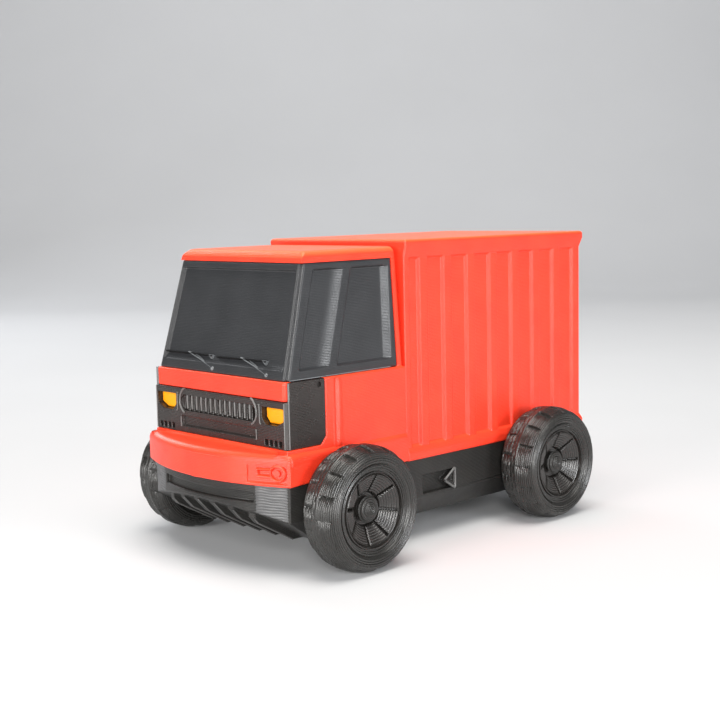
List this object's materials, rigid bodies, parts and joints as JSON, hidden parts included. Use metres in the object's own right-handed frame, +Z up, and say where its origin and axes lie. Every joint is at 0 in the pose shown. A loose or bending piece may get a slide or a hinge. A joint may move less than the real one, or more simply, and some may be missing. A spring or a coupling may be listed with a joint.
{
  "type": "toy delivery truck",
  "caption": "Small printed toy box truck: a cab with snap-in black windows and grille, and a ribbed container with rear doors, on a chassis with wheels on push-in pins.",
  "frame": {"origin": "on the floor, under the middle of the truck's length and width", "axes": "+Z up, the truck's nose towards -Y, its left side (driver's left) towards +X"},
  "size_m": [0.05, 0.078, 0.0501],
  "materials": {
    "red_body": "printed, satin, with fine layer lines",
    "black_window": "printed, semi-gloss",
    "black_grille": "printed, semi-gloss",
    "black_chassis": "printed, semi-gloss",
    "black_tyre": "printed, satin, with layer rings",
    "black_rim": "printed, semi-gloss",
    "black_pin": "printed, semi-gloss",
    "yellow_lamp": "printed, semi-gloss"
  },
  "bodies": {
    "truck": {"chassis": "black_chassis", "cab_shell": "red_body", "window_insert": "black_window", "grille_insert": "black_grille", "headlight_left": "yellow_lamp", "headlight_right": "yellow_lamp", "container_body": "red_body", "wheel_pin_front_left": "black_pin", "wheel_pin_front_right": "black_pin", "wheel_pin_rear_left": "black_pin", "wheel_pin_rear_right": "black_pin"},
    "wheel_front_left": {"tyre_front_left": "black_tyre", "rim_front_left": "black_rim"},
    "wheel_front_right": {"tyre_front_right": "black_tyre", "rim_front_right": "black_rim"},
    "wheel_rear_left": {"tyre_rear_left": "black_tyre", "rim_rear_left": "black_rim"},
    "wheel_rear_right": {"tyre_rear_right": "black_tyre", "rim_rear_right": "black_rim"},
    "rear_door_left_leaf": {"rear_door_left": "red_body", "door_pin_left": "black_pin"},
    "rear_door_right_leaf": {"rear_door_right": "red_body", "door_pin_right": "black_pin"}
  },
  "joints": [
    {"name": "wheel_front_left_spin", "type": "hinge", "parent": "truck", "child": "wheel_front_left", "pos_m": [0.0213, -0.0237, 0.00985], "axis": [1, 0, 0], "continuous": true},
    {"name": "wheel_front_right_spin", "type": "hinge", "parent": "truck", "child": "wheel_front_right", "pos_m": [-0.0213, -0.0237, 0.00985], "axis": [1, 0, 0], "continuous": true},
    {"name": "wheel_rear_left_spin", "type": "hinge", "parent": "truck", "child": "wheel_rear_left", "pos_m": [0.0213, 0.0223, 0.00985], "axis": [1, 0, 0], "continuous": true},
    {"name": "wheel_rear_right_spin", "type": "hinge", "parent": "truck", "child": "wheel_rear_right", "pos_m": [-0.0213, 0.0223, 0.00985], "axis": [1, 0, 0], "continuous": true},
    {"name": "rear_door_left_hinge", "type": "hinge", "parent": "truck", "child": "rear_door_left_leaf", "pos_m": [0.0131, 0.03723, 0.031], "axis": [0, 0, -1], "range_deg": [0, 100]},
    {"name": "rear_door_right_hinge", "type": "hinge", "parent": "truck", "child": "rear_door_right_leaf", "pos_m": [-0.0131, 0.03723, 0.031], "axis": [0, 0, 1], "range_deg": [0, 100]}
  ]
}
